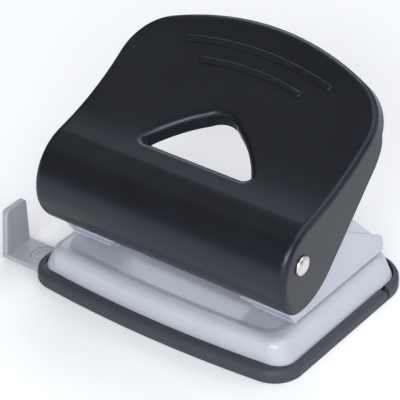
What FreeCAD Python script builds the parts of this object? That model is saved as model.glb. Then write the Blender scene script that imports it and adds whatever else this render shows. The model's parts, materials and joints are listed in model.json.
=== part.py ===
"""Two-hole paper punch: base plate, punch frame, lever, two sprung punch pins,
chip tray with its sliding paper guide.

Frame: millimetres, +X to the right, +Y to the back, +Z up, origin at the centre
of the chip tray's underside.  The lever is in its raised position.
"""
import FreeCAD, Part
import math
import os
import Sketcher

DIMENSIONS = [
    # chip tray and the outline that it shares with the base plate
    ("tray_half_width", 59.9),
    ("tray_half_depth", 43.2),
    ("tray_bow", 3.8),
    ("tray_front_corner_r", 12.0),
    ("tray_back_corner_r", 16.5),
    ("tray_rim_z", 5.5),
    ("tray_floor", 1.5),
    ("tray_wall", 2.2),
    ("tray_lip", 4.3),
    ("tray_lip_z", 4.3),
    ("tray_rib_inset", 5.2),
    ("tray_rib_wall", 1.6),
    ("tray_rim_round", 2.4),
    ("tray_slit_y", 25.2),
    ("tray_slit_width", 1.3),
    ("tray_slit_round", 2.6),
    # base plate
    ("base_back_corner_r", 14.4),
    ("skirt_z", 4.8),
    ("skirt_inset", 4.9),
    ("flare_inset", 4.7),
    ("flare_wider", 1.6),
    ("flare_draft", 23.0),
    ("shoulder_inset", 6.6),
    ("shoulder_round", 4.2),
    ("paper_z", 13.8),
    ("base_sheet", 1.2),
    ("base_roof_z", 11.4),
    ("dish_depth", 0.7),
    ("dish_slope", 78.0),
    ("dish_inset", 10.4),
    ("dish_corner_r", 8.5),
    ("dish_back_y", -3.0),
    # pins and dies
    ("hole_spacing", 80.0),
    ("pin_y", -15.6),
    ("pin_r", 2.75),
    ("pin_tip_z", 15.6),
    ("pin_head_r", 4.0),
    ("pin_head_height", 1.6),
    ("pin_fit", 0.05),
    ("die_r", 4.6),
    ("die_flange_r", 6.6),
    ("die_z", 8.6),
    ("bush_r", 4.2),
    ("bush_flange_r", 6.4),
    ("bush_top_z", 25.0),
    ("ring_r", 5.6),
    ("ring_height", 1.2),
    ("ring_drop", 1.0),
    ("spring_r", 5.0),
    ("spring_wire_r", 0.45),
    ("spring_pitch", 2.9),
    # punch frame
    ("frame_half_width", 51.3),
    ("frame_sheet", 1.6),
    ("web_z", 15.3),
    ("arch_z", 18.5),
    ("arch_half_width", 27.0),
    ("lip_inner_x", 33.0),
    ("lip_y", -24.5),
    ("lip_top_z", 25.5),
    ("lip_drop", 0.4),
    ("arch_relief", 8.5),
    ("slot_back_y", 31.5),
    ("frame_back_y", 34.4),
    ("foot_back_y", 36.6),
    ("foot_half_width", 46.0),
    ("ear_r", 7.6),
    ("cheek_press", 0.4),
    ("rivet_r", 1.4),
    ("rivet_head_r", 2.1),
    ("rivet_y", 33.4),
    # pivot
    ("pivot_y", -29.6),
    ("pivot_z", 45.7),
    ("axle_r", 2.5),
    ("axle_head_r", 3.85),
    ("axle_head", 1.1),
    ("axle_fit", 0.06),
    ("spacer_r", 4.4),
    # lever
    ("lever_half_width", 56.8),
    ("lever_sheet", 1.2),
    ("lever_round", 2.6),
    ("nose_y", -21.0),
    ("nose_z", 41.0),
    ("nose_r", 20.0),
    ("nose_start", 231.0),
    ("pad_start", 14.5),
    ("pad_end", 50.0),
    ("pad_r", 110.0),
    ("flat_length", 5.0),
    ("flange_depth", 7.5),
    ("flange_start", 37.0),
    ("cheek_angle", 46.0),
    ("cheek_top_y", 17.0),
    ("cheek_top_z", 62.9),
    ("cheek_length", 41.3),
    ("cheek_toe_y", -25.5),
    ("cheek_toe_z", 25.8),
    ("outline_tilt", 44.0),
    ("outline_back", 90.8),
    ("outline_back_r", 111.0),
    ("outline_corner_r", 22.0),
    # triangular opening
    ("window_tilt", 22.0),
    ("window_front", 7.4),
    ("window_back", 28.45),
    ("window_half_width", 23.7),
    ("window_side_r", 52.5),
    ("window_corner_r", 2.7),
    ("window_apex_r", 9.3),
    ("window_apex_half", 6.5),
    ("window_wall", 1.6),
    ("window_rim_depth", 6.6),
    ("window_round", 3.0),
    # grip ribs
    ("rib_height", 0.9),
    ("rib_round", 0.7),
    # press cams
    ("cam_base_r", 14.0),
    ("cam_reach", 6.0),
    ("cam_width", 9.0),
    ("cam_gap", 0.06),
    # paper stop and paper guide
    ("stop_y", -3.6),
    ("guide_front_y", -40.0),
    ("guide_width", 14.4),
    ("guide_z", 1.9),
    ("guide_height", 2.0),
    ("guide_end_x", -75.2),
    ("guide_length", 112.0),
    ("guide_gap", 0.4),
    ("stop_plate", 2.6),
    ("stop_round", 0.7),
    ("stop_plate_z", 22.8),
]

doc = FreeCAD.newDocument("hole_punch")
sheet = doc.addObject("Spreadsheet::Sheet", "dims")


def fill_sheet():
    """Write every driving dimension into the sheet under its alias."""
    for row, (alias, number) in enumerate(DIMENSIONS, start=1):
        sheet.set("A%d" % row, alias)
        sheet.set("B%d" % row, str(number))
        sheet.setAlias("B%d" % row, alias)
    doc.recompute()


def term(text):
    """Turn a formula in bare aliases into one that any object can be bound to."""
    words = []
    word = ""
    for letter in text + " ":
        if letter.isalnum() or letter == "_":
            word += letter
            continue
        words.append("dims." + word if word in ALIASES else word)
        words.append(letter)
        word = ""
    return "".join(words).strip()


ALIASES = {alias for alias, number in DIMENSIONS}


def size(text):
    """The present value of a formula in bare aliases."""
    found = sheet.evalExpression(term(text))
    return float(getattr(found, "Value", found))


# --- drawing helpers -------------------------------------------------------

def new_body(name, x="0"):
    """A named body, moved along X by a formula."""
    body = doc.addObject("PartDesign::Body", name)
    body.Label = name
    if x != "0":
        body.setExpression("Placement.Base.x", term(x))
    return body


def new_sketch(body, name, plane, offset="0", tilt="0"):
    """A sketch on one of the body's origin planes, raised and tilted by formulas."""
    sketch = body.newObject("Sketcher::SketchObject", name)
    support = [item for item in body.Origin.OriginFeatures if item.Role == plane]
    sketch.AttachmentSupport = (support[0], [""])
    sketch.MapMode = "FlatFace"
    if offset != "0":
        sketch.setExpression("AttachmentOffset.Base.z", term(offset))
    if tilt != "0":
        sketch.AttachmentOffset = FreeCAD.Placement(
            FreeCAD.Vector(0, 0, size(offset)),
            FreeCAD.Rotation(FreeCAD.Vector(1, 0, 0), size(tilt)))
        sketch.setExpression("AttachmentOffset.Rotation.Angle", term(tilt))
    return sketch


def bind(sketch, kind, places, formula):
    """Add one dimension to a sketch and tie it to a formula."""
    index = sketch.addConstraint(Sketcher.Constraint(kind, *places, size(formula)))
    sketch.setExpression("Constraints[%d]" % index, term(formula))


def pin_point(sketch, curve, end, x, y):
    """Fix one point of a curve at formulas for its two coordinates."""
    bind(sketch, "DistanceX", (-1, 1, curve, end), x)
    bind(sketch, "DistanceY", (-1, 1, curve, end), y)


def arc_between(start, end, radius, turn):
    """The short arc from start to end; turn is +1 to the left, -1 to the right."""
    chord = end.sub(start)
    middle = (start + end) * 0.5
    reach = math.sqrt(radius ** 2 - (chord.Length / 2.0) ** 2)
    left = FreeCAD.Vector(-chord.y, chord.x, 0) * (1.0 / chord.Length)
    centre = middle + left * (reach * turn)
    first, last = (start, end) if turn > 0 else (end, start)
    angle_1 = math.atan2(first.y - centre.y, first.x - centre.x)
    angle_2 = math.atan2(last.y - centre.y, last.x - centre.x)
    circle = Part.Circle(centre, FreeCAD.Vector(0, 0, 1), radius)
    return Part.ArcOfCircle(circle, angle_1, angle_2)


def draw_outline(sketch, corners):
    """Draw a closed outline.

    Each corner is (x, y) for a straight run to the next corner, or
    (x, y, radius, turn) for an arc to it.  All are formulas but the turn.
    """
    points = [FreeCAD.Vector(size(corner[0]), size(corner[1]), 0) for corner in corners]
    for index, corner in enumerate(corners):
        start = points[index]
        end = points[(index + 1) % len(points)]
        if len(corner) == 2:
            curve = sketch.addGeometry(Part.LineSegment(start, end))
            first_end = 1
        else:
            curve = sketch.addGeometry(arc_between(start, end, size(corner[2]), corner[3]))
            first_end = 1 if corner[3] > 0 else 2
            bind(sketch, "Radius", (curve,), corner[2])
        pin_point(sketch, curve, first_end, corner[0], corner[1])
        following = corners[(index + 1) % len(corners)]
        pin_point(sketch, curve, 3 - first_end, following[0], following[1])


def draw_circle(sketch, x, y, radius):
    """Draw a circle whose centre and radius are formulas."""
    centre = FreeCAD.Vector(size(x), size(y), 0)
    circle = Part.Circle(centre, FreeCAD.Vector(0, 0, 1), size(radius))
    curve = sketch.addGeometry(circle)
    bind(sketch, "Radius", (curve,), radius)
    pin_point(sketch, curve, 3, x, y)


def draw_rectangle(sketch, x_low, x_high, y_low, y_high):
    """Draw a rectangle between formulas."""
    draw_outline(sketch, [(x_low, y_low), (x_high, y_low), (x_high, y_high), (x_low, y_high)])


def add_pad(body, sketch, length, both_ways=False, reverse=False):
    """Pad a sketch by a formula."""
    pad = body.newObject("PartDesign::Pad", sketch.Name + "_pad")
    pad.Profile = sketch
    pad.setExpression("Length", term(length))
    pad.Midplane = both_ways
    pad.Reversed = reverse
    finish_feature(body, pad)
    return pad


def add_pocket(body, sketch, length, both_ways=False, reverse=False):
    """Cut a sketch into the body by a formula, and make sure that it cuts."""
    doc.recompute()
    before = body.Shape.Volume
    pocket = body.newObject("PartDesign::Pocket", sketch.Name + "_pocket")
    pocket.Profile = sketch
    pocket.setExpression("Length", term(length))
    pocket.Midplane = both_ways
    pocket.Reversed = reverse
    finish_feature(body, pocket)
    if body.Shape.Volume > before - 1e-3:
        raise RuntimeError(pocket.Name + " removes nothing")
    return pocket


def finish_feature(body, feature):
    """Make a feature the body's tip, hide nothing, and recompute."""
    body.Tip = feature
    doc.recompute()


def edge_names(shape, wanted):
    """The names of the edges that a test picks out."""
    return ["Edge%d" % (index + 1) for index, edge in enumerate(shape.Edges) if wanted(edge)]


def add_fillet(body, radius, wanted):
    """Round the edges that a test picks out."""
    base = body.Tip
    fillet = body.newObject("PartDesign::Fillet", base.Name + "_round")
    fillet.Base = (base, edge_names(base.Shape, wanted))
    fillet.setExpression("Radius", term(radius))
    finish_feature(body, fillet)
    return fillet


def lies_at(edge, z):
    """Whether an edge is flat and at one height."""
    box = edge.BoundBox
    return abs(box.ZMin - z) < 1e-4 and abs(box.ZMax - z) < 1e-4


# --- the bowed outline of the tray and the base ----------------------------

BOW_R = "((tray_half_width^2 + tray_bow^2)/(2*tray_bow))"
BOW_CENTRE = "(%s - tray_half_depth - tray_bow)" % BOW_R


def bowed_corner(corner, inset, wider):
    """Where one right-hand corner arc meets the bow (x, y) and the side (y)."""
    corner_x = "(tray_half_width - %s + %s)" % (corner, wider)
    reach = "sqrt((%s - %s)^2 - %s^2)" % (BOW_R, corner, corner_x)
    share = "(%s - %s)/(%s - %s)" % (BOW_R, inset, BOW_R, corner)
    return (
        "(%s*%s)" % (corner_x, share),
        "(%s*%s - %s)" % (reach, share, BOW_CENTRE),
        "(%s - %s)" % (reach, BOW_CENTRE),
    )


def bowed_outline(inset, wider="0", back_corner="tray_back_corner_r"):
    """The tray's outline, moved inwards: straight sides, bowed front and back.
    The two sides can be set further out by wider; back_corner is the radius
    that the two back corners would have with no inset."""
    side_x = "(tray_half_width - %s + %s)" % (inset, wider)
    bow_r = "(%s - %s)" % (BOW_R, inset)
    front_x, front_y, front_side = bowed_corner("tray_front_corner_r", inset, wider)
    back_x, back_y, back_side = bowed_corner(back_corner, inset, wider)
    front_r = "(tray_front_corner_r - %s)" % inset
    back_r = "(%s - %s)" % (back_corner, inset)
    return [
        ("-" + front_x, "-" + front_y, bow_r, 1),
        (front_x, "-" + front_y, front_r, 1),
        (side_x, "-" + front_side),
        (side_x, back_side, back_r, 1),
        (back_x, back_y, bow_r, 1),
        ("-" + back_x, back_y, back_r, 1),
        ("-" + side_x, back_side),
        ("-" + side_x, "-" + front_side, front_r, 1),
    ]


def outline_sketch(body, name, inset, z, wider="0", back_corner="tray_back_corner_r"):
    """A sketch of the bowed outline at one height."""
    sketch = new_sketch(body, name, "XY_Plane", z)
    draw_outline(sketch, bowed_outline(inset, wider, back_corner))
    return sketch


# --- chip tray -------------------------------------------------------------

def bowed_end(inset, limit_y, at_back):
    """The front or back end of the bowed outline, cut off straight at limit_y."""
    outline = bowed_outline(inset)
    side_x = outline[3][0]
    if at_back:
        return [("-" + side_x, limit_y), (side_x, limit_y)] + outline[3:7]
    return [(side_x, limit_y), ("-" + side_x, limit_y), outline[7]] + outline[0:3]


def chip_tray():
    """Floor, outer rim with an inward lip, and the rib that the base stands on."""
    body = new_body("chip_tray")
    add_pad(body, outline_sketch(body, "tray_block", "0", "0"), "tray_rim_z")
    add_fillet(body, "tray_rim_round", lambda edge: lies_at(edge, size("tray_rim_z")))
    add_fillet(body, "0.6", lambda edge: lies_at(edge, 0.0))
    hollow = outline_sketch(body, "tray_hollow", "tray_wall", "tray_lip_z")
    add_pocket(body, hollow, "tray_lip_z - tray_floor")
    throat = outline_sketch(body, "tray_throat", "tray_lip", "tray_rim_z", "flare_wider")
    add_pocket(body, throat, "tray_rim_z - tray_floor - 1")
    add_tray_rib(body)
    add_guide_rails(body)
    cut_guide_window(body)
    cut_back_flap(body)
    return body


GUIDE_BACK_Y = "(guide_front_y + guide_width + guide_gap)"


def add_tray_rib(body):
    """The rib under the base's skirt; it leaves the front free for the guide bar."""
    rib = new_sketch(body, "tray_rib", "XY_Plane", "tray_floor")
    draw_outline(rib, bowed_end("tray_rib_inset", GUIDE_BACK_Y, True))
    add_pad(body, rib, "tray_lip_z - tray_floor")
    chip_space = new_sketch(body, "tray_chip_space", "XY_Plane", "tray_lip_z")
    inner = "(tray_rib_inset + tray_rib_wall)"
    draw_outline(chip_space, bowed_end(inner, GUIDE_BACK_Y + " + tray_rib_wall", True))
    add_pocket(body, chip_space, "tray_lip_z - tray_floor")


def add_guide_rails(body):
    """A rail in front of the guide bar, and hooks that hold the bar down."""
    rail = new_sketch(body, "tray_front_rail", "XY_Plane", "tray_floor")
    rail_y = "(guide_front_y - guide_gap)"
    draw_rectangle(rail, "-42", "42", rail_y + " - 1.4", rail_y)
    add_pad(body, rail, "tray_lip_z - tray_floor")
    hooks = new_sketch(body, "tray_hooks", "XY_Plane", "tray_lip_z")
    for x in ("-30", "6"):
        draw_rectangle(hooks, x, x + " + 8", GUIDE_BACK_Y + " - 1.6", GUIDE_BACK_Y + " + 1.2")
    add_pad(body, hooks, "1")


def cut_guide_window(body):
    """The window in the left wall that the paper guide slides through."""
    window = new_sketch(body, "tray_window", "XY_Plane", "guide_z + guide_height + guide_gap")
    draw_rectangle(window, "-tray_half_width - 1", "-tray_half_width + 8.4",
                   "guide_front_y - guide_gap", GUIDE_BACK_Y)
    add_pocket(body, window, "guide_height + 2*guide_gap")


def cut_back_flap(body):
    """Two slits and a cut-back lip leave the rear rim as a springy pull flap."""
    top = "(tray_rim_z + 1)"
    for side, x in (("left", "-tray_half_width - 1"), ("right", "tray_half_width + 1")):
        slit = new_sketch(body, "tray_slit_" + side, "YZ_Plane", x)
        draw_outline(slit, [
            ("tray_slit_y", "tray_floor"),
            ("tray_slit_y + tray_slit_width", "tray_floor"),
            ("tray_slit_y + tray_slit_width", top),
            ("tray_slit_y - tray_slit_round", top),
            ("tray_slit_y - tray_slit_round", "tray_rim_z", "tray_slit_round", -1),
            ("tray_slit_y", "tray_rim_z - tray_slit_round"),
        ])
        add_pocket(body, slit, "tray_rib_inset + 0.7", reverse=side == "left")
    ledge = new_sketch(body, "tray_ledge", "XY_Plane", "tray_rim_z")
    draw_outline(ledge, bowed_end("tray_wall", "tray_slit_y + 1", True))
    add_pocket(body, ledge, "tray_rim_z - tray_lip_z")


# --- base plate ------------------------------------------------------------

def base_plate():
    """Pressed pan: drafted skirt, soft shoulder, shallow dish at the front."""
    body = new_body("base_plate")
    corner = "base_back_corner_r"
    skirt = outline_sketch(body, "skirt_edge", "skirt_inset", "skirt_z", "0", corner)
    pan = add_pad(body, skirt, "paper_z - skirt_z")
    pan.setExpression("TaperAngle", term("-atan((shoulder_inset - skirt_inset)/(paper_z - skirt_z))"))
    flare = outline_sketch(body, "skirt_flare", "flare_inset", "skirt_z", "flare_wider", corner)
    lower = add_pad(body, flare, "paper_z - skirt_z - 0.4")
    lower.setExpression("TaperAngle", term("-flare_draft"))
    doc.recompute()
    add_fillet(body, "shoulder_round", lambda edge: lies_at(edge, size("paper_z")))
    press_dish(body)
    inside = "(shoulder_inset + base_sheet)"
    inner = outline_sketch(body, "base_inside", inside, "skirt_z", "0", corner)
    add_pocket(body, inner, "base_roof_z - skirt_z", reverse=True)
    add_fillet(body, "1", lambda edge: lies_at(edge, size("base_roof_z")))
    bore_base(body)
    return body


def press_dish(body):
    """A shallow dish with sloping sides at the front of the pan."""
    dish = new_sketch(body, "dish", "XY_Plane", "paper_z")
    side_x = "(tray_half_width - dish_inset)"
    corner = "(dish_inset + dish_corner_r)"
    front_x, front_y, front_side = bowed_corner(corner, "dish_inset", "0")
    draw_outline(dish, [
        ("-" + front_x, "-" + front_y, "(%s - dish_inset)" % BOW_R, 1),
        (front_x, "-" + front_y, "dish_corner_r", 1),
        (side_x, "-" + front_side),
        (side_x, "dish_back_y"),
        ("-" + side_x, "dish_back_y"),
        ("-" + side_x, "-" + front_side, "dish_corner_r", 1),
    ])
    cut = add_pocket(body, dish, "dish_depth")
    cut.setExpression("TaperAngle", term("-dish_slope"))
    doc.recompute()
    floor_z = size("paper_z - dish_depth")
    add_fillet(body, "dish_corner_r/2", lambda edge: lies_at(edge, floor_z))


def bore_base(body):
    """Holes for the dies and for the rivets that hold the frame's foot."""
    holes = new_sketch(body, "base_bores", "XY_Plane", "paper_z")
    for side in ("-", ""):
        draw_circle(holes, side + "hole_spacing/2", "pin_y", "die_r")
        for place in RIVET_PLACES:
            draw_circle(holes, side + place, "rivet_y", "rivet_r")
    add_pocket(body, holes, "paper_z - skirt_z")


RIVET_PLACES = ("36", "43")


# --- punch frame -----------------------------------------------------------

def punch_frame():
    """Folded bracket: arched web, two cheeks with pivot ears, front lips, foot."""
    body = new_body("punch_frame")
    add_frame_section(body)
    trim_cheeks(body)
    press_cheeks(body)
    add_front_lips(body)
    add_foot(body)
    bore_frame(body)
    return body


def add_frame_section(body):
    """The U section with its raised middle, drawn from the front and run back."""
    section = new_sketch(body, "frame_section", "XZ_Plane", "-foot_back_y")
    half = "frame_half_width"
    inner = "(frame_half_width - frame_sheet)"
    top = "60"
    draw_outline(section, [
        ("-" + half, "web_z"),
        ("-lip_inner_x", "web_z"),
        ("-arch_half_width", "arch_z"),
        ("arch_half_width", "arch_z"),
        ("lip_inner_x", "web_z"),
        (half, "web_z"),
        (half, top),
        (inner, top),
        (inner, "web_z + frame_sheet"),
        ("lip_inner_x - 0.7", "web_z + frame_sheet"),
        ("arch_half_width - 0.7", "arch_z + frame_sheet"),
        ("-arch_half_width + 0.7", "arch_z + frame_sheet"),
        ("-lip_inner_x + 0.7", "web_z + frame_sheet"),
        ("-" + inner, "web_z + frame_sheet"),
        ("-" + inner, top),
        ("-" + half, top),
    ])
    add_pad(body, section, "foot_back_y + 45")


def cheek_outline():
    """The cheek seen from the side: ear, sloping back edge, rounded heel."""
    return [
        ("lip_y", "0"),
        ("lip_y", "web_z"),
        ("-31", "24"),
        ("pivot_y - ear_r", "pivot_z - 6"),
        ("pivot_y - ear_r", "pivot_z", "ear_r", -1),
        ("pivot_y", "pivot_z + ear_r"),
        ("1.2", "pivot_z + ear_r - 1.5"),
        ("27.4", "25.8", "16", 1),
        ("31.6", "23.0", "4", -1),
        ("frame_back_y", "18.5"),
        ("frame_back_y", "web_z + frame_sheet"),
        ("foot_back_y", "web_z + frame_sheet"),
        ("foot_back_y", "0"),
    ]


def trim_cheeks(body):
    """Cut away everything outside the cheek's side view."""
    frame_cut = new_sketch(body, "cheek_cut", "YZ_Plane")
    draw_rectangle(frame_cut, "-60", "60", "-5", "70")
    draw_outline(frame_cut, cheek_outline())
    add_pocket(body, frame_cut, "2*frame_half_width + 4", both_ways=True)


def press_cheeks(body):
    """Above a crease the cheeks are pressed inwards by a little."""
    creases = [
        ("-60", "75"),
        ("-60", "71"),
        ("4", "40.2"),
        ("17.4", "31.8"),
        ("23", "28.5"),
        ("26", "26"),
        ("29.7", "22.6"),
        ("36", "17.6"),
        ("50", "17.6"),
        ("50", "75"),
    ]
    for name, offset, turned in (("cheek_press_right", "frame_half_width", False),
                                 ("cheek_press_left", "-frame_half_width", True)):
        sketch = new_sketch(body, name, "YZ_Plane", offset)
        draw_outline(sketch, creases)
        add_pocket(body, sketch, "cheek_press", reverse=turned)


def add_front_lips(body):
    """The web's front edge is folded up, low over the arch and high at the sides."""
    for side in ("-", ""):
        lip = new_sketch(body, "lip_%s" % ("left" if side else "right"), "XZ_Plane", "-lip_y")
        outline = [
            ("arch_half_width + 1.4", "arch_z - 1"),
            ("lip_inner_x - 1.5", "web_z + 0.4"),
            ("lip_inner_x + 1.5", "web_z - lip_drop"),
            ("frame_half_width", "web_z - lip_drop"),
            ("frame_half_width", "lip_top_z"),
            ("arch_half_width + 1.4", "lip_top_z"),
        ]
        if side:
            outline = [("-(%s)" % x, z) for x, z in reversed(outline)]
        draw_outline(lip, outline)
        add_pad(body, lip, "frame_sheet", reverse=True)
    clear_middle(body)


def clear_middle(body):
    """Set the arch's front edge back so that the sheet's middle can be seen."""
    middle = new_sketch(body, "arch_relief", "XY_Plane", "lip_top_z")
    draw_rectangle(middle, "-arch_half_width - 1.4", "arch_half_width + 1.4",
                   "lip_y - 6", "lip_y + arch_relief")
    add_pocket(body, middle, "lip_top_z - paper_z")


def add_foot(body):
    """Two feet behind the slot stand on the base plate and carry the rivets."""
    feet = new_sketch(body, "feet", "XY_Plane", "paper_z")
    inner = "(lip_inner_x + 1)"
    outer = "(frame_half_width - 2*frame_sheet)"
    draw_rectangle(feet, "-" + outer, "-" + inner, "slot_back_y", "foot_back_y")
    draw_rectangle(feet, inner, outer, "slot_back_y", "foot_back_y")
    add_pad(body, feet, "web_z - paper_z")
    corners = new_sketch(body, "foot_corners", "XY_Plane", "web_z + frame_sheet")
    edge = "(frame_half_width + 1)"
    draw_rectangle(corners, "-" + edge, "-" + outer, "frame_back_y", "foot_back_y + 1")
    draw_rectangle(corners, outer, edge, "frame_back_y", "foot_back_y + 1")
    add_pocket(body, corners, "frame_sheet + 1")
    middle = new_sketch(body, "arch_back", "XY_Plane", "arch_z + frame_sheet")
    draw_rectangle(middle, "-" + inner, inner, "frame_back_y - 2", "foot_back_y + 1")
    add_pocket(body, middle, "arch_z + frame_sheet - paper_z")


def bore_frame(body):
    """Guide bores in the web, rivet holes in the foot, the axle's hole in the ears."""
    bores = new_sketch(body, "web_bores", "XY_Plane", "arch_z + 4")
    for side in ("-", ""):
        draw_circle(bores, side + "hole_spacing/2", "pin_y", "bush_r")
        for place in RIVET_PLACES:
            draw_circle(bores, side + place, "rivet_y", "rivet_r")
    add_pocket(body, bores, "arch_z + 4 - paper_z + 1")
    axle_hole = new_sketch(body, "axle_bore", "YZ_Plane")
    draw_circle(axle_hole, "pivot_y", "pivot_z", "axle_r")
    add_pocket(body, axle_hole, "2*frame_half_width + 4", both_ways=True)


# --- turned parts ----------------------------------------------------------

def turned(name, x, corners):
    """Revolve a half section about the vertical line through x and the pins."""
    body = new_body(name, x)
    body.setExpression("Placement.Base.y", term("pin_y"))
    section = new_sketch(body, name + "_section", "XZ_Plane")
    draw_outline(section, corners)
    turn = body.newObject("PartDesign::Revolution", name + "_turn")
    turn.Profile = section
    turn.ReferenceAxis = (section, ["V_Axis"])
    turn.Angle = 360.0
    finish_feature(body, turn)
    return body


PIN_TOP = "(pivot_z - cam_reach - cam_gap)"
RING_TOP = "(%s - pin_head_height - ring_drop)" % PIN_TOP


def punch_pin(name, x):
    """Ground pin with a hollow-ground cutting end, a ring groove and a flat head."""
    neck_r = "(pin_r - 0.5)"
    body = turned(name, x, [
        ("0", "pin_tip_z + 0.9"),
        ("pin_r", "pin_tip_z"),
        ("pin_r", RING_TOP + " - ring_height"),
        (neck_r, RING_TOP + " - ring_height"),
        (neck_r, RING_TOP),
        ("pin_r", RING_TOP),
        ("pin_r", PIN_TOP + " - pin_head_height"),
        ("pin_head_r - 0.4", PIN_TOP + " - pin_head_height"),
        ("pin_head_r", PIN_TOP + " - pin_head_height + 0.4"),
        ("pin_head_r", PIN_TOP + " - 0.4"),
        ("pin_head_r - 0.4", PIN_TOP),
        ("0", PIN_TOP),
    ])
    return body


def retaining_ring(name, x):
    """Split washer in the pin's groove; the spring pushes it up."""
    body = turned(name, x, [
        ("pin_r - 0.5", RING_TOP + " - ring_height"),
        ("ring_r", RING_TOP + " - ring_height"),
        ("ring_r", RING_TOP),
        ("pin_r - 0.5", RING_TOP),
    ])
    split = new_sketch(body, name + "_split", "XY_Plane", RING_TOP)
    draw_rectangle(split, "-0.8", "0.8", "0", "ring_r + 1")
    add_pocket(body, split, "ring_height")
    return body


def die(name, x):
    """Die bush pressed up through the base plate, flush with the paper."""
    bore_r = "(pin_r + pin_fit)"
    return turned(name, x, [
        (bore_r, "paper_z - 2.2"),
        (bore_r, "paper_z"),
        ("die_r", "paper_z"),
        ("die_r", "base_roof_z"),
        ("die_flange_r", "base_roof_z"),
        ("die_flange_r", "die_z"),
        ("pin_r + 0.6", "die_z"),
        ("pin_r + 0.6", "paper_z - 2.8"),
    ])


def guide_bush(name, x):
    """Flanged bush that guides the pin above the web and seats its spring."""
    bore_r = "(pin_r + pin_fit)"
    return turned(name, x, [
        (bore_r, "web_z"),
        ("bush_r", "web_z"),
        ("bush_r", "web_z + frame_sheet"),
        ("bush_flange_r", "web_z + frame_sheet"),
        ("bush_flange_r", "web_z + frame_sheet + 1.2"),
        ("bush_r", "web_z + frame_sheet + 1.2"),
        ("bush_r", "bush_top_z - 0.4"),
        ("bush_r - 0.4", "bush_top_z"),
        (bore_r, "bush_top_z"),
    ])


def pin_spring(name, x):
    """Coil spring between the bush flange and the retaining ring."""
    seat = "(web_z + frame_sheet + 1.2)"
    body = new_body(name, x)
    body.setExpression("Placement.Base.y", term("pin_y"))
    body.setExpression("Placement.Base.z", term(seat + " + spring_wire_r + 0.05"))
    wire = new_sketch(body, name + "_wire", "XZ_Plane")
    draw_circle(wire, "spring_r", "0", "spring_wire_r")
    doc.recompute()
    coil = body.newObject("PartDesign::AdditiveHelix", name + "_coil")
    coil.Profile = wire
    coil.ReferenceAxis = (wire, ["V_Axis"])
    coil.Mode = 0
    coil.setExpression("Pitch", term("spring_pitch"))
    room = RING_TOP + " - ring_height - " + seat
    coil.setExpression("Height", term(room + " - 2*spring_wire_r - 0.1"))
    finish_feature(body, coil)
    return body


def frame_rivets():
    """Four rivets through the frame's foot and the base plate."""
    body = new_body("frame_rivets")
    foot_top = "(web_z + frame_sheet)"
    for side in ("-", ""):
        for place in RIVET_PLACES:
            add_rivet(body, side + place, foot_top, "%s%s" % (side, place))
    return body


def add_rivet(body, x, top, mark):
    """One rivet: shank, domed head above and upset head below."""
    name = "rivet_" + mark.replace("-", "left_").replace(".", "_")
    shank = new_sketch(body, name + "_shank", "XY_Plane", "base_roof_z")
    draw_circle(shank, x, "rivet_y", "rivet_r")
    add_pad(body, shank, top + " - base_roof_z")
    for part, height, start in (("head", "1.0", top), ("upset", "0.8", "base_roof_z - 0.8")):
        disc = new_sketch(body, name + "_" + part, "XY_Plane", start)
        draw_circle(disc, x, "rivet_y", "rivet_head_r")
        add_pad(body, disc, height)


# --- pivot -----------------------------------------------------------------

def turned_across(name, corners, x="0"):
    """Revolve a half section about the pivot line; corners are (x, radius)."""
    body = new_body(name, x)
    body.setExpression("Placement.Base.y", term("pivot_y"))
    body.setExpression("Placement.Base.z", term("pivot_z"))
    section = new_sketch(body, name + "_section", "XY_Plane")
    draw_outline(section, corners)
    turn = body.newObject("PartDesign::Revolution", name + "_turn")
    turn.Profile = section
    turn.ReferenceAxis = (section, ["H_Axis"])
    turn.Angle = 360.0
    finish_feature(body, turn)
    return body


def pivot_axle():
    """The axle right across the nose, its two ends riveted over outside the lever."""
    side = "(lever_half_width + 0.25)"
    tip = "(%s + axle_head)" % side
    return turned_across("pivot_axle", [
        ("-" + tip, "0"),
        (tip, "0"),
        (tip, "axle_head_r - 1.2"),
        (tip + " - 0.5", "axle_head_r - 0.2"),
        (side + " + 0.2", "axle_head_r"),
        (side, "axle_head_r"),
        (side, "axle_r"),
        ("-" + side, "axle_r"),
        ("-" + side, "axle_head_r"),
        ("-%s - 0.2" % side, "axle_head_r"),
        ("-%s + 0.5" % tip, "axle_head_r - 0.2"),
        ("-" + tip, "axle_head_r - 1.2"),
    ])


def pivot_spacer(name, sign):
    """Sleeve on the axle that keeps the lever's cheek off the frame."""
    low = "(frame_half_width)"
    high = "(lever_half_width - lever_sheet - 0.3)"
    if sign < 0:
        low, high = "-" + high, "-" + low
    return turned_across(name, [
        (low, "axle_r"),
        (high, "axle_r"),
        (high, "spacer_r"),
        (low, "spacer_r"),
    ])


# --- lever -----------------------------------------------------------------

def on_circle(centre_y, centre_z, radius, angle):
    """Formulas for a point on a circle in the side view."""
    return ("(%s + (%s)*cos(%s))" % (centre_y, radius, angle),
            "(%s + (%s)*sin(%s))" % (centre_z, radius, angle))


FLAT_Y, FLAT_Z = on_circle("nose_y", "nose_z", "nose_r", "90 + pad_start")
PAD_Y = "(%s + flat_length*cos(pad_start) - pad_r*sin(pad_start))" % FLAT_Y
PAD_Z = "(%s + flat_length*sin(pad_start) + pad_r*cos(pad_start))" % FLAT_Z
CHEEK_LOW_Y = "(cheek_top_y - cheek_length*cos(cheek_angle))"
CHEEK_LOW_Z = "(cheek_top_z - cheek_length*sin(cheek_angle))"


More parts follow.
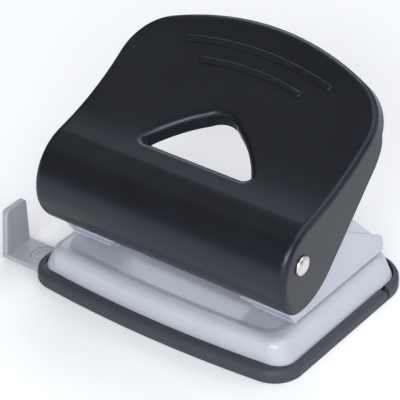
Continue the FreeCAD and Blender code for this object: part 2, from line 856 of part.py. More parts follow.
def skin_points(depth):
    """Nose arc, short flat and pad arc, moved inwards by depth: four corners."""
    nose_r = "(nose_r - %s)" % depth
    pad_r = "(pad_r + %s)" % depth
    flat = on_circle("nose_y", "nose_z", nose_r, "90 + pad_start")
    pad_low = on_circle(PAD_Y, PAD_Z, pad_r, "pad_start - 90")
    pad_high = on_circle(PAD_Y, PAD_Z, pad_r, "pad_end - 90")
    return nose_r, pad_r, flat, pad_low, pad_high


def lever_form(name, depth, underside, start):
    """The lever's solid form at one depth under its skin."""
    body = new_body(name)
    nose_r, pad_r, flat, pad_low, pad_high = skin_points(depth)
    toe = on_circle("nose_y", "nose_z", nose_r, start)
    side_view = new_sketch(body, name + "_side", "YZ_Plane")
    draw_outline(side_view, [
        toe + (nose_r, -1),
        flat,
        pad_low + (pad_r, 1),
        pad_high,
    ] + underside)
    add_pad(body, side_view, "2*(lever_half_width - %s)" % depth, both_ways=True)
    round_back_corners(body, name, depth)
    add_fillet(body, "lever_round - %s" % depth, skin_border(size(depth)))
    return body


def round_back_corners(body, name, depth):
    """Cut the pad's rear to its bowed outline with large corners."""
    plan = new_sketch(body, name + "_plan", "XY_Plane", tilt="outline_tilt")
    side_x = "(lever_half_width - %s)" % depth
    corner_r = "(outline_corner_r - %s)" % depth
    back_r = "(outline_back_r - %s)" % depth
    corner_x = "(lever_half_width - outline_corner_r)"
    reach = "sqrt((outline_back_r - outline_corner_r)^2 - %s^2)" % corner_x
    centre_y = "(outline_back - outline_back_r)"
    corner_y = "(%s + %s)" % (centre_y, reach)
    share = "/(outline_back_r - outline_corner_r)"
    end_x = "(%s*%s%s)" % (back_r, corner_x, share)
    end_y = "(%s + %s*%s%s)" % (centre_y, back_r, reach, share)
    draw_outline(plan, [
        (side_x, corner_y, corner_r, 1),
        (end_x, end_y, back_r, 1),
        ("-" + end_x, end_y, corner_r, 1),
        ("-" + side_x, corner_y),
        ("-80", corner_y),
        ("-80", "130"),
        ("80", "130"),
        ("80", corner_y),
    ])
    add_pocket(body, plan, "300", both_ways=True)


def off_skin(point, depth):
    """How far a point is from the lever's skin at one depth."""
    pad_gap = math.hypot(point.y - size(PAD_Y), point.z - size(PAD_Z)) - size("pad_r") - depth
    nose_gap = math.hypot(point.y - size("nose_y"), point.z - size("nose_z")) - size("nose_r") + depth
    lean = math.radians(size("pad_start"))
    rise = (point.z - size(FLAT_Z)) * math.cos(lean) - (point.y - size(FLAT_Y)) * math.sin(lean)
    along = (point.y - size(FLAT_Y)) * math.cos(lean) + (point.z - size(FLAT_Z)) * math.sin(lean)
    if 0.0 < along < size("flat_length"):
        return abs(rise + depth)
    return min(abs(pad_gap), abs(nose_gap))


def skin_border(depth):
    """A test for the edges round the outside of the nose, flat and pad."""

    def wanted(edge):
        box = edge.BoundBox
        across = box.XLength > 20 and box.YLength < 0.5 and box.ZLength < 0.5
        return not across and max(off_skin(point, depth) for point in edge.discretize(5)) < 2e-3

    return wanted


def lever():
    """Pressed lever shell with its triangular opening and grip ribs."""
    outer = lever_form("lever_outer", "0", [
        on_circle(PAD_Y, PAD_Z, "pad_r + flange_depth", "pad_end - 90") + ("(pad_r + flange_depth)", -1),
        on_circle(PAD_Y, PAD_Z, "pad_r + flange_depth", "flange_start - 90") + ("23.4", -1),
        ("cheek_top_y", "cheek_top_z"),
        (CHEEK_LOW_Y, CHEEK_LOW_Z, "25.6", -1),
        ("cheek_toe_y", "cheek_toe_z"),
    ], "nose_start")
    inner = lever_form("lever_core", "lever_sheet", [
        ("70", "60"),
        ("40", "0"),
        ("-25", "0"),
    ], "nose_start + 9")
    shell = boolean("Part::Cut", "lever_shell", outer, inner)
    rim = window_prism("window_rim", "window_wall")
    collar = boolean("Part::Common", "window_collar", rim, skin_layer("collar_layer", "0.6", "window_rim_depth"))
    joined = boolean("Part::Fuse", "lever_with_collar", shell, collar)
    opening = window_prism("window_opening", "0")
    opened = boolean("Part::Cut", "lever_opened", joined, opening)
    softened = rounded("lever_softened", opened, "window_round", on_opening_rim)
    ribbed = boolean("Part::Fuse", "lever_ribbed", softened, grip_ribs())
    bored = boolean("Part::Cut", "lever", ribbed, axle_clearance())
    return bored


def boolean(kind, name, base, tool):
    """A boolean of two objects under a new name."""
    result = doc.addObject(kind, name)
    result.Base = base
    result.Tool = tool
    result.Label = name
    doc.recompute()
    return result


def window_prism(name, grow):
    """A prism over the triangular opening, grown outwards by a formula."""
    body = new_body(name)
    plan = new_sketch(body, name + "_plan", "XY_Plane", tilt="window_tilt")
    front = "(window_front - %s)" % grow
    back = "(window_back + %s)" % grow
    half = "(window_half_width + %s)" % grow
    apex_half = "(window_apex_half + %s*0.5)" % grow
    side_low = "(window_front + 2.2)"
    draw_outline(plan, [
        ("-" + half + " + 2.2", front),
        (half + " - 2.2", front, "window_corner_r + " + grow, 1),
        (half, side_low, "window_side_r + " + grow, 1),
        (apex_half, back + " - 1.0", "window_apex_r + " + grow, 1),
        ("-" + apex_half, back + " - 1.0", "window_side_r + " + grow, 1),
        ("-" + half, side_low, "window_corner_r + " + grow, 1),
    ])
    pad = body.newObject("PartDesign::Pad", name + "_pad")
    pad.Profile = plan
    pad.Length = 100.0
    finish_feature(body, pad)
    return body


def skin_layer(name, above, below):
    """The layer between two depths under the pad surface, as a cut tube."""
    length = size("2*lever_half_width")
    centre = FreeCAD.Vector(-length / 2.0, size(PAD_Y), size(PAD_Z))
    tube_outer = pad_cylinder(name + "_outer", "pad_r + " + below, length, centre)
    tube_inner = pad_cylinder(name + "_inner", "pad_r + " + above, length, centre)
    return boolean("Part::Cut", name, tube_outer, tube_inner)


def pad_cylinder(name, radius, length, centre):
    """A cylinder about the pad's centre line, lying along X."""
    cylinder = doc.addObject("Part::Cylinder", name)
    cylinder.setExpression("Radius", term(radius))
    cylinder.setExpression("Height", term("2*lever_half_width"))
    cylinder.Placement = FreeCAD.Placement(centre, FreeCAD.Rotation(FreeCAD.Vector(0, 1, 0), 90))
    return cylinder


def rounded(name, base, alias, wanted):
    """A solid with a fillet along the edges that a test picks."""
    doc.recompute()
    rounding = doc.addObject("Part::Fillet", name)
    rounding.Base = base
    radius = size(alias)
    edges = []
    for index, edge in enumerate(base.Shape.Edges):
        if wanted(edge):
            edges.append((index + 1, radius, radius))
    rounding.Edges = edges
    doc.recompute()
    return rounding


def on_opening_rim(edge):
    """Whether an edge is where the opening's wall meets the outer skin."""
    limit_x = size("window_half_width") + 1.0
    box = edge.BoundBox
    if box.XMax > limit_x or box.XMin < -limit_x:
        return False
    return max(off_skin(point, 0.0) for point in edge.discretize(5)) < 2e-3


RIBS = (
    ("rib_rear", "31.8", "74.0", "3.85"),
    ("rib_front", "21.8", "67.8", "2.15"),
)


def grip_ribs():
    """Two raised arcs across the pad."""
    ribs = []
    for name, half, end, bow in RIBS:
        body = new_body(name)
        plan = new_sketch(body, name + "_plan", "XY_Plane", tilt="outline_tilt")
        radius = "((%s^2 + %s^2)/(2*%s))" % (half, bow, bow)
        draw_outline(plan, [
            ("-" + half, end, "1.4", -1),
            ("-%s - 0.6" % half, end + " + 2.6", "(%s + 2.7)" % radius, -1),
            ("%s + 0.6" % half, end + " + 2.6", "1.4", -1),
            (half, end, radius, 1),
        ])
        add_pad(body, plan, "120", both_ways=True)
        ribs.append(body)
    joined = boolean("Part::Fuse", "rib_prisms", ribs[0], ribs[1])
    layer = skin_layer("rib_layer", "-rib_height", "0.4")
    square = boolean("Part::Common", "square_ribs", joined, layer)
    return rounded("grip_ribs", square, "rib_round", on_rib_top)


def on_rib_top(edge):
    """Whether an edge runs round the top of a rib."""
    top = size("-rib_height")
    return max(off_skin(point, top) for point in edge.discretize(5)) < 2e-3


def axle_clearance():
    """The hole through both lever cheeks."""
    hole = doc.addObject("Part::Cylinder", "axle_clearance")
    hole.setExpression("Radius", term("axle_r + axle_fit"))
    hole.setExpression("Height", term("2*lever_half_width + 2"))
    place = FreeCAD.Vector(-size("lever_half_width") - 1.0, size("pivot_y"), size("pivot_z"))
    hole.Placement = FreeCAD.Placement(place, FreeCAD.Rotation(FreeCAD.Vector(0, 1, 0), 90))
    return hole


# --- press cams ------------------------------------------------------------

def involute(turn):
    """The point of the cam flank that touches the pin after a turn, in radians."""
    base_r = size("cam_base_r")
    length = size("cam_reach") + base_r * turn
    y = size("pivot_y") + base_r * math.cos(turn) + length * math.sin(turn)
    z = size("pivot_z") + base_r * math.sin(turn) - length * math.cos(turn)
    return FreeCAD.Vector(y, z, 0)


def press_cam(name, x):
    """Block under the lever; its involute flank drives the pin in a straight line."""
    body = new_body(name, x)
    side_view = new_sketch(body, name + "_side", "YZ_Plane")
    flank = [involute(0.1 * step - 0.2) for step in range(8)]
    top_back = under_flat(size("flat_length"))
    top_front = under_flat(0.0)
    back = FreeCAD.Vector(flank[-1].x + 1.0, flank[-1].y + 5.0, 0)
    front = FreeCAD.Vector(flank[0].x - 3.2, flank[0].y + 3.6, 0)
    spline = Part.BSplineCurve()
    spline.interpolate(flank)
    sketch_curves = [
        Part.LineSegment(top_front, front),
        Part.LineSegment(front, flank[0]),
        spline,
        Part.LineSegment(flank[-1], back),
        Part.LineSegment(back, top_back),
        Part.LineSegment(top_back, top_front),
    ]
    for curve in sketch_curves:
        side_view.addGeometry(curve)
    add_pad(body, side_view, "cam_width", both_ways=True)
    return body


def under_flat(along):
    """A point on the underside of the short flat behind the nose."""
    lean = math.radians(size("pad_start"))
    depth = size("nose_r - lever_sheet")
    y = size("nose_y") - depth * math.sin(lean) + along * math.cos(lean)
    z = size("nose_z") + depth * math.cos(lean) + along * math.sin(lean)
    return FreeCAD.Vector(y, z, 0)


# --- paper stop and paper guide --------------------------------------------

def paper_stop():
    """Strip in the slot behind the pins that the sheet's edge is pushed against."""
    body = new_body("paper_stop")
    strip = new_sketch(body, "stop_strip", "XY_Plane", "paper_z")
    for side in ("-", ""):
        low, high = side + "48", side + "34"
        if not side:
            low, high = high, low
        draw_rectangle(strip, low, high, "stop_y", "stop_y + 3")
    add_pad(body, strip, "web_z - paper_z")
    return body


def paper_guide():
    """Flat bar that slides out of the tray's left side, with an upright stop."""
    body = new_body("paper_guide")
    bar = new_sketch(body, "guide_bar", "XY_Plane", "guide_z")
    draw_rectangle(bar, "guide_end_x", "guide_end_x + guide_length",
                   "guide_front_y", "guide_front_y + guide_width")
    add_pad(body, bar, "guide_height")
    plate = new_sketch(body, "guide_stop", "YZ_Plane", "guide_end_x")
    back = "(guide_front_y + guide_width)"
    draw_outline(plate, [
        ("guide_front_y", "guide_z"),
        (back, "guide_z"),
        (back + " - 1.2", "stop_plate_z - 2", "2", 1),
        (back + " - 3.2", "stop_plate_z"),
        ("guide_front_y + 3.2", "stop_plate_z", "2", 1),
        ("guide_front_y + 1.2", "stop_plate_z - 2"),
    ])
    add_pad(body, plate, "stop_plate")
    add_fillet(body, "stop_round", on_stop_rim)
    return body


def on_stop_rim(edge):
    """An edge round one of the stop plate's two faces, clear of the bar."""
    box = edge.BoundBox
    inner_face = size("guide_end_x + stop_plate")
    if box.XLength > 0.01:
        return False
    if abs(box.XMin - size("guide_end_x")) < 0.01:
        return True
    return abs(box.XMin - inner_face) < 0.01 and box.ZMax > size("guide_z + guide_height") + 0.5


# --- assembly --------------------------------------------------------------

def build():
    """Make every sub-part and return them."""
    parts = [
        chip_tray(),
        base_plate(),
        punch_frame(),
        frame_rivets(),
        paper_stop(),
        pivot_axle(),
        lever(),
        paper_guide(),
    ]
    for side, sign in (("left", -1), ("right", 1)):
        x = "-hole_spacing/2" if sign < 0 else "hole_spacing/2"
        parts.append(die("die_" + side, x))
        parts.append(guide_bush("guide_bush_" + side, x))
        parts.append(punch_pin("punch_pin_" + side, x))
        parts.append(retaining_ring("retaining_ring_" + side, x))
        parts.append(pin_spring("pin_spring_" + side, x))
        parts.append(press_cam("press_cam_" + side, x))
        parts.append(pivot_spacer("pivot_spacer_" + side, sign))
    return parts


def check(parts):
    """Stop if any object failed or any sub-part's shape is not sound."""
    doc.recompute()
    for item in doc.Objects:
        if "Invalid" in item.State or "Error" in item.State:
            raise RuntimeError("%s is %s" % (item.Name, item.State))
    for part in parts:
        if part.Shape.isNull() or not part.Shape.isValid():
            raise RuntimeError(part.Label + " has no sound shape")


def export(parts):
    """Write each sub-part to its own file."""
    os.makedirs("parts", exist_ok=True)
    for part in parts:
        part.Shape.exportStep("parts/%s.step" % part.Label)
        print(part.Label, len(part.Shape.Solids), round(part.Shape.Volume, 1))


fill_sheet()
made = build()
check(made)
export(made)
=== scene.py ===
"""Looks of the hole punch: materials, small surface details, studio and camera.

Everything is in metres in the frame of the CAD model, which stays as it is.
"""

import json
import math

import bmesh
import bpy
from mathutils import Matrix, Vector


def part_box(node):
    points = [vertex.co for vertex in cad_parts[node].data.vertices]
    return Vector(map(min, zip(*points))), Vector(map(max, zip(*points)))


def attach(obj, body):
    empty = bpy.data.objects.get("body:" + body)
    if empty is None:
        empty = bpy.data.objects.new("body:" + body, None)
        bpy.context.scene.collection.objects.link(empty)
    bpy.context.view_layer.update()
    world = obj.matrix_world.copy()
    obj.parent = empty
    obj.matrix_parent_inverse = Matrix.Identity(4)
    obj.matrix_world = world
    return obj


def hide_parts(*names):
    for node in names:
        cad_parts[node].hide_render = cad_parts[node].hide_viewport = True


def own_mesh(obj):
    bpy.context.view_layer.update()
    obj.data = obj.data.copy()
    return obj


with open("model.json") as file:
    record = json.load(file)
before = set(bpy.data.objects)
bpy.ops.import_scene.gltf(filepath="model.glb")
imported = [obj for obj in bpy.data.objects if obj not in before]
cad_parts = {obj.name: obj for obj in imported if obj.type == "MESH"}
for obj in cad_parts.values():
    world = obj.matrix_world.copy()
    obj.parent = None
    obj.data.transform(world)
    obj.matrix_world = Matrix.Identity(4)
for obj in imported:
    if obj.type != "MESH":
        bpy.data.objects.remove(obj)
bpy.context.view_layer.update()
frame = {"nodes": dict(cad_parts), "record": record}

MM = 0.001
UP = Vector((0.0, 0.0, 1.0))

# --- camera and studio -----------------------------------------------------

CAMERA_AZIMUTH = math.radians(36.29)
CAMERA_ELEVATION = math.radians(33.005)
CAMERA_DISTANCE = 0.901
CAMERA_TARGET = Vector((-0.009454, 0.0, 0.032286))
CAMERA_LENS = 214.6
CAMERA_SENSOR = 36.0
CAMERA_CLIP = (0.05, 20.0)
LIGHT_TARGET = Vector((0.0, 0.0, 0.04))
LIGHT_COLOUR = (0.95, 0.975, 1.04)
ROOM_STRENGTH = 0.02
FLOOR_SIZE = 6.0
FLOOR_GLOW = 0.12
WHITE = (1.0, 1.0, 1.0, 1.0)

# name, azimuth and elevation in degrees, distance, width and height in metres, watts
SOFTBOXES = (
    ("front", 28, 28, 1.4, 1.2, 0.5, 19.5),
    ("right_high", 105, 62, 1.5, 1.3, 1.3, 9.8),
    ("right_low", 130, 15, 1.4, 1.0, 0.6, 2.1),
    ("back", 165, 45, 1.5, 1.0, 0.8, 2.3),
    ("back_left", -150, 40, 1.5, 1.0, 0.8, 7.6),
    ("left", -75, 48, 1.5, 0.8, 0.8, 0.9),
)


def direction(azimuth, elevation):
    """The unit vector from the object towards a view or a light."""
    return Vector((
        math.sin(azimuth) * math.cos(elevation),
        -math.cos(azimuth) * math.cos(elevation),
        math.sin(elevation),
    ))


def aim(item, target):
    """Turn a camera or a light so that it looks at a point."""
    item.rotation_euler = (target - item.location).to_track_quat("-Z", "Y").to_euler()


def add_camera():
    """The camera at the photograph's viewing angle."""
    data = bpy.data.cameras.new("camera")
    data.lens = CAMERA_LENS
    data.sensor_width = CAMERA_SENSOR
    data.clip_start, data.clip_end = CAMERA_CLIP
    camera = bpy.data.objects.new("camera", data)
    back = direction(CAMERA_AZIMUTH, CAMERA_ELEVATION)
    camera.location = CAMERA_TARGET + back * CAMERA_DISTANCE
    aim(camera, CAMERA_TARGET)
    bpy.context.scene.collection.objects.link(camera)
    bpy.context.scene.camera = camera


def add_softbox(name, azimuth, elevation, distance, width, height, power):
    """A rectangular studio light that faces the object."""
    data = bpy.data.lights.new(name, "AREA")
    data.shape = "RECTANGLE"
    data.size = width
    data.size_y = height
    data.energy = power
    data.color = LIGHT_COLOUR
    light = bpy.data.objects.new(name, data)
    towards = direction(math.radians(azimuth), math.radians(elevation))
    light.location = LIGHT_TARGET + towards * distance
    aim(light, LIGHT_TARGET)
    bpy.context.scene.collection.objects.link(light)


def add_studio():
    """A long low light in front, broad weaker ones round the rest, and a dim room
    that leaves the lever's paint something dark to mirror."""
    for softbox in SOFTBOXES:
        add_softbox(*softbox)
    world = bpy.data.worlds.new("room")
    world.use_nodes = True
    background = world.node_tree.nodes["Background"]
    background.inputs["Color"].default_value = WHITE
    background.inputs["Strength"].default_value = ROOM_STRENGTH
    bpy.context.scene.world = world
    bpy.context.scene.view_settings.view_transform = "Standard"


def add_floor():
    """A pale seamless floor under the punch."""
    half = FLOOR_SIZE / 2.0
    mesh = bpy.data.meshes.new("floor")
    corners = [(-half, -half, 0), (half, -half, 0), (half, half, 0), (-half, half, 0)]
    mesh.from_pydata(corners, [], [(0, 1, 2, 3)])
    floor = bpy.data.objects.new("floor", mesh)
    bpy.context.scene.collection.objects.link(floor)
    mesh.materials.append(floor_paper())


# --- material building blocks ----------------------------------------------


class Surface:
    """A material under construction: one Principled shader in object coordinates."""

    def __init__(self, name):
        self.material = bpy.data.materials.new(name)
        self.material.use_nodes = True
        self.nodes = self.material.node_tree.nodes
        self.links = self.material.node_tree.links
        self.shader = self.nodes["Principled BSDF"]
        self.place = self.nodes.new("ShaderNodeTexCoord").outputs["Object"]
        self.normal = None

    def set(self, **values):
        """Set the shader's own sockets; underscores stand for spaces."""
        for name, value in values.items():
            socket = self.shader.inputs[name.replace("_", " ")]
            socket.default_value = value

    def noise(self, scale, detail=2.0, stretch=None):
        """Noise over the surface; scale is in features per metre.

        A stretch below 1 lengthens the features along that axis.
        """
        node = self.nodes.new("ShaderNodeTexNoise")
        node.inputs["Scale"].default_value = scale
        node.inputs["Detail"].default_value = detail
        place = self.place
        if stretch is not None:
            mapping = self.nodes.new("ShaderNodeMapping")
            mapping.inputs["Scale"].default_value = stretch
            self.links.new(place, mapping.inputs["Vector"])
            place = mapping.outputs["Vector"]
        self.links.new(place, node.inputs["Vector"])
        return node.outputs["Fac"]

    def ramp(self, factor, low, high, start=0.3, end=0.7):
        """Run a factor between two colours."""
        node = self.nodes.new("ShaderNodeValToRGB")
        node.color_ramp.elements[0].position = start
        node.color_ramp.elements[1].position = end
        node.color_ramp.elements[0].color = (*low, 1.0)
        node.color_ramp.elements[1].color = (*high, 1.0)
        self.links.new(factor, node.inputs["Fac"])
        return node.outputs["Color"]

    def span(self, factor, low, high):
        """Run a factor between two numbers."""
        node = self.nodes.new("ShaderNodeMapRange")
        node.inputs["To Min"].default_value = low
        node.inputs["To Max"].default_value = high
        self.links.new(factor, node.inputs["Value"])
        return node.outputs["Result"]

    def colour(self, output):
        """Feed the base colour."""
        self.links.new(output, self.shader.inputs["Base Color"])

    def roughness(self, output):
        """Feed the roughness."""
        self.links.new(output, self.shader.inputs["Roughness"])

    def bump(self, height, strength, depth):
        """Stack a bump on the ones already made; depth is in metres."""
        node = self.nodes.new("ShaderNodeBump")
        node.inputs["Strength"].default_value = strength
        node.inputs["Distance"].default_value = depth
        self.links.new(height, node.inputs["Height"])
        if self.normal is not None:
            self.links.new(self.normal, node.inputs["Normal"])
        self.normal = node.outputs["Normal"]
        self.links.new(self.normal, self.shader.inputs["Normal"])


# --- materials -------------------------------------------------------------


def floor_paper():
    """Matt white studio paper, with a faint glow that lightens its shadows."""
    surface = Surface("floor_paper")
    surface.set(Roughness=0.9, Specular_IOR_Level=0.1)
    surface.set(Emission_Color=WHITE, Emission_Strength=FLOOR_GLOW)
    dark, light = (0.91, 0.905, 0.90), (0.93, 0.925, 0.92)
    surface.colour(surface.ramp(surface.noise(3.0), dark, light))
    return surface.material


def lever_paint():
    """Satin black stoved paint with a fine orange peel and a little dust in it."""
    surface = Surface("lever_paint")
    surface.set(Specular_IOR_Level=0.37, Specular_Tint=(0.76, 0.85, 1.0, 1.0))
    surface.set(Coat_Weight=0.1, Coat_Roughness=0.2)
    dark, light = (0.0090, 0.0096, 0.0122), (0.0118, 0.0126, 0.0158)
    surface.colour(surface.ramp(surface.noise(60.0, detail=4.0), dark, light))
    surface.roughness(surface.span(surface.noise(420.0, detail=3.0), 0.31, 0.41))
    surface.bump(surface.noise(950.0, detail=2.0), strength=0.10, depth=0.04 * MM)
    surface.bump(surface.noise(4200.0, detail=2.0), strength=0.08, depth=0.01 * MM)
    return surface.material


def frame_paint():
    """Half-gloss light grey-blue paint, slightly wavy as sprayed paint is."""
    surface = Surface("frame_paint")
    surface.set(Specular_IOR_Level=0.45, Coat_Weight=0.3, Coat_Roughness=0.14)
    dark, light = (0.480, 0.512, 0.552), (0.505, 0.537, 0.577)
    surface.colour(surface.ramp(surface.noise(35.0, detail=4.0), dark, light))
    surface.roughness(surface.span(surface.noise(300.0, detail=3.0), 0.32, 0.42))
    surface.bump(surface.noise(520.0, detail=1.0), strength=0.12, depth=0.05 * MM)
    return surface.material


def tray_plastic():
    """Dark grey moulded plastic with a fine eroded grain."""
    surface = Surface("tray_plastic")
    surface.set(Specular_IOR_Level=0.4)
    dark, light = (0.043, 0.045, 0.056), (0.050, 0.052, 0.064)
    surface.colour(surface.ramp(surface.noise(90.0, detail=3.0), dark, light))
    surface.roughness(surface.span(surface.noise(1500.0, detail=2.0), 0.50, 0.62))
    surface.bump(surface.noise(3200.0, detail=3.0), strength=0.30, depth=0.05 * MM)
    return surface.material


def guide_plastic():
    """Light grey moulded plastic, finely grained."""
    surface = Surface("guide_plastic")
    surface.set(Specular_IOR_Level=0.45, Subsurface_Weight=0.05, Subsurface_Scale=0.001)
    dark, light = (0.355, 0.368, 0.382), (0.385, 0.398, 0.412)
    surface.colour(surface.ramp(surface.noise(80.0, detail=3.0), dark, light))
    surface.roughness(surface.span(surface.noise(1300.0, detail=2.0), 0.42, 0.52))
    surface.bump(surface.noise(2600.0, detail=3.0), strength=0.18, depth=0.04 * MM)
    return surface.material


def guide_groove_shade():
    """Dark grey for the dial's engraved lines: painted shade of the grooves, uneven in tone.
    """
    surface = Surface("guide_groove_shade")
    surface.set(Specular_IOR_Level=0.35)
    dark, light = (0.16, 0.165, 0.17), (0.30, 0.305, 0.31)
    surface.colour(surface.ramp(surface.noise(900.0, detail=3.0), dark, light))
    surface.roughness(surface.span(surface.noise(1500.0, detail=2.0), 0.5, 0.7))
    surface.bump(surface.noise(2600.0, detail=3.0), strength=0.15, depth=0.02 * MM)
    return surface.material


# slot, colour, lowest and highest roughness, stretch of the turning or drawing marks
STEELS = (
    ("axle_steel", (0.72, 0.69, 0.66), 0.24, 0.38, (0.1, 1.0, 1.0)),
    ("tool_steel", (0.56, 0.57, 0.59), 0.16, 0.30, (0.1, 0.1, 1.0)),
    ("spring_steel", (0.40, 0.41, 0.43), 0.26, 0.40, (1.0, 1.0, 0.3)),
    ("rivet_steel", (0.62, 0.62, 0.63), 0.30, 0.44, (1.0, 1.0, 1.0)),
)
STEEL_SHADE = 0.86


def bright_steel(name, colour, low, high, stretch):
    """Bare or plated steel with fine tool marks in it."""
    surface = Surface(name)
    surface.set(Metallic=1.0)
    darker = tuple(channel * STEEL_SHADE for channel in colour)
    surface.colour(surface.ramp(surface.noise(140.0, detail=4.0), darker, colour))
    marks = surface.noise(1100.0, detail=2.0, stretch=stretch)
    surface.roughness(surface.span(marks, low, high))
    surface.bump(marks, strength=0.12, depth=0.02 * MM)
    return surface.material


def bush_brass():
    """Turned brass, a little dull."""
    surface = Surface("bush_brass")
    surface.set(Metallic=1.0)
    dark, light = (0.58, 0.42, 0.17), (0.72, 0.54, 0.25)
    surface.colour(surface.ramp(surface.noise(220.0, detail=4.0), dark, light))
    marks = surface.noise(1200.0, detail=2.0, stretch=(0.1, 0.1, 1.0))
    surface.roughness(surface.span(marks, 0.24, 0.40))
    surface.bump(marks, strength=0.12, depth=0.02 * MM)
    return surface.material


def cam_nylon():
    """Natural nylon, slightly see-through at its edges."""
    surface = Surface("cam_nylon")
    surface.set(Specular_IOR_Level=0.45, Subsurface_Weight=0.25, Subsurface_Scale=0.002)
    dark, light = (0.62, 0.60, 0.53), (0.68, 0.66, 0.60)
    surface.colour(surface.ramp(surface.noise(120.0, detail=3.0), dark, light))
    surface.roughness(surface.span(surface.noise(900.0, detail=2.0), 0.38, 0.50))
    surface.bump(surface.noise(1800.0, detail=2.0), strength=0.15, depth=0.03 * MM)
    return surface.material


def make_materials():
    """Every material of the punch by its slot in the record."""
    materials = {
        "lever_paint": lever_paint(),
        "frame_paint": frame_paint(),
        "tray_plastic": tray_plastic(),
        "guide_plastic": guide_plastic(),
        "bush_brass": bush_brass(),
        "cam_nylon": cam_nylon(),
    }
    for steel in STEELS:
        materials[steel[0]] = bright_steel(*steel)
    return materials


def dress_nodes(materials):
    """Give every CAD node the material of its slot."""
    for part in frame["record"]["subparts"]:
        mesh = frame["nodes"][part["node"]].data
        mesh.materials.clear()
        mesh.materials.append(materials[part["material_slot"]])


# --- coil springs ----------------------------------------------------------

WIRE_RADIUS = 0.45 * MM
SPRING_TURNS = 6.5
CLOSED_TURNS = 1.0
SPRING_GAP = 0.03 * MM
STEPS_PER_TURN = 40
WIRE_SIDES = 12


def add_piece(name, mesh, material):
    """Link a bmesh as a new object with one material."""
    bmesh.ops.recalc_face_normals(mesh, faces=mesh.faces)
    data = bpy.data.meshes.new(name)
    mesh.to_mesh(data)
    mesh.free()
    data.materials.append(material)
    piece = bpy.data.objects.new(name, data)
    bpy.context.scene.collection.objects.link(piece)
    return piece


def skin(mesh, rings):
    """Close a row of equal rings of vertices into one solid."""
    count = len(rings[0])
    for near, far in zip(rings, rings[1:]):
        for j in range(count):
            k = (j + 1) % count
            mesh.faces.new((near[j], near[k], far[k], far[j]))
    mesh.faces.new(rings[0])
    mesh.faces.new(reversed(rings[-1]))


def coil_height(turn, length):
    """Height of the wire's middle after some turns: both end turns lie closed."""
    closed_rise = 2.0 * WIRE_RADIUS * CLOSED_TURNS
    bottom = WIRE_RADIUS + SPRING_GAP
    top = length - bottom
    if turn < CLOSED_TURNS:
        return bottom + closed_rise * turn / CLOSED_TURNS
    if turn > SPRING_TURNS - CLOSED_TURNS:
        return top - closed_rise * (SPRING_TURNS - turn) / CLOSED_TURNS
    share = (turn - CLOSED_TURNS) / (SPRING_TURNS - 2.0 * CLOSED_TURNS)
    return bottom + closed_rise + share * (top - bottom - 2.0 * closed_rise)


def coil_mesh(foot, radius, length):
    """The wire wound round the vertical line through a foot point."""
    mesh = bmesh.new()
    rings = []
    for step in range(round(SPRING_TURNS * STEPS_PER_TURN) + 1):
        turn = step / STEPS_PER_TURN
        out = Vector((math.cos(math.tau * turn), math.sin(math.tau * turn), 0.0))
        middle = foot + out * radius + UP * coil_height(turn, length)
        ring = []
        for corner in range(WIRE_SIDES):
            around = math.tau * corner / WIRE_SIDES
            offset = out * math.cos(around) + UP * math.sin(around)
            ring.append(mesh.verts.new(middle + offset * WIRE_RADIUS))
        rings.append(ring)
    skin(mesh, rings)
    return mesh


def coil_spring(side, material):
    """A coil spring with closed ends, in place of the CAD spring."""
    node = "pin_spring_" + side
    low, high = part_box(node)
    foot = Vector(((low[0] + high[0]) / 2.0, (low[1] + high[1]) / 2.0, low[2]))
    radius = (high[1] - low[1]) / 2.0 - WIRE_RADIUS
    length = high[2] - low[2]
    piece = add_piece("coil_spring_" + side, coil_mesh(foot, radius, length), material)
    for face in piece.data.polygons:
        face.use_smooth = len(face.vertices) == 4
    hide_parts(node)
    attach(piece, "base")
    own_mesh(piece)


# --- marks on the paper guide ----------------------------------------------

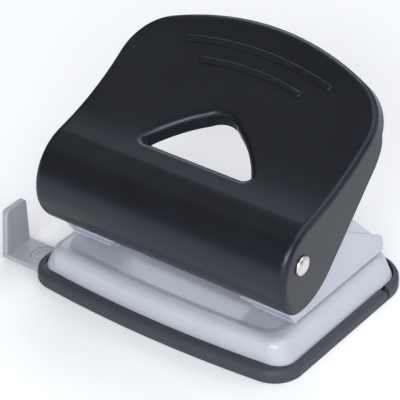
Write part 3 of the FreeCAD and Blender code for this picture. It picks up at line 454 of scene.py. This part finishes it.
BAR_HEIGHT = 2.0 * MM
MARK_WIDTH = 0.45 * MM
MARK_HEIGHT = 0.07 * MM
MARK_SECTION = ((-0.5, 0.0), (-0.36, 0.72), (0.0, 1.0), (0.36, 0.72), (0.5, 0.0))
DIAL_FROM_STOP = 15.4 * MM
DIAL_FROM_FRONT = 8.4 * MM
DIAL_RADIUS = 6.1 * MM
DIAL_START = math.radians(98.0)
DIAL_END = math.radians(232.0)
DIAL_STEPS = 36
TICK_RADII = (3.1 * MM, 4.5 * MM)
TICK_ANGLES = tuple(math.radians(degrees) for degrees in (128.0, 152.0, 176.0, 200.0))


def bead(name, path, material):
    """A low rounded bead, painted dark as the shade of a groove, along a path of points on a
    flat, level face.
    """
    mesh = bmesh.new()
    rings = []
    for i, point in enumerate(path):
        ahead = path[min(i + 1, len(path) - 1)] - path[max(i - 1, 0)]
        across = Vector((-ahead.y, ahead.x, 0.0)).normalized() * MARK_WIDTH
        ring = []
        for reach, rise in MARK_SECTION:
            ring.append(mesh.verts.new(point + across * reach + UP * MARK_HEIGHT * rise))
        rings.append(ring)
    skin(mesh, rings)
    return add_piece(name, mesh, material)


def polar(centre, radius, angle):
    """The point at a radius and an angle round a centre."""
    return centre + Vector((radius * math.cos(angle), radius * math.sin(angle), 0.0))


def mark_guide(groove_shade):
    """The half-moon line of the format dial and plain ticks inside it, as low beads in
    painted shade of engraved grooves.
    """
    low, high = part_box("paper_guide")
    centre = Vector((low[0] + DIAL_FROM_STOP, low[1] + DIAL_FROM_FRONT, low[2] + BAR_HEIGHT))
    turn = DIAL_END - DIAL_START
    arc = []
    for i in range(DIAL_STEPS + 1):
        arc.append(polar(centre, DIAL_RADIUS, DIAL_START + turn * i / DIAL_STEPS))
    marks = [bead("guide_dial_line", arc, groove_shade)]
    for number, angle in enumerate(TICK_ANGLES, start=1):
        tick = [polar(centre, radius, angle) for radius in TICK_RADII]
        marks.append(bead("guide_tick_%d" % number, tick, groove_shade))
    for mark in marks:
        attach(mark, "guide")


# --- building the scene ----------------------------------------------------


add_camera()
add_studio()
add_floor()
materials = make_materials()
dress_nodes(materials)
coil_spring("left", materials["spring_steel"])
coil_spring("right", materials["spring_steel"])
mark_guide(guide_groove_shade())
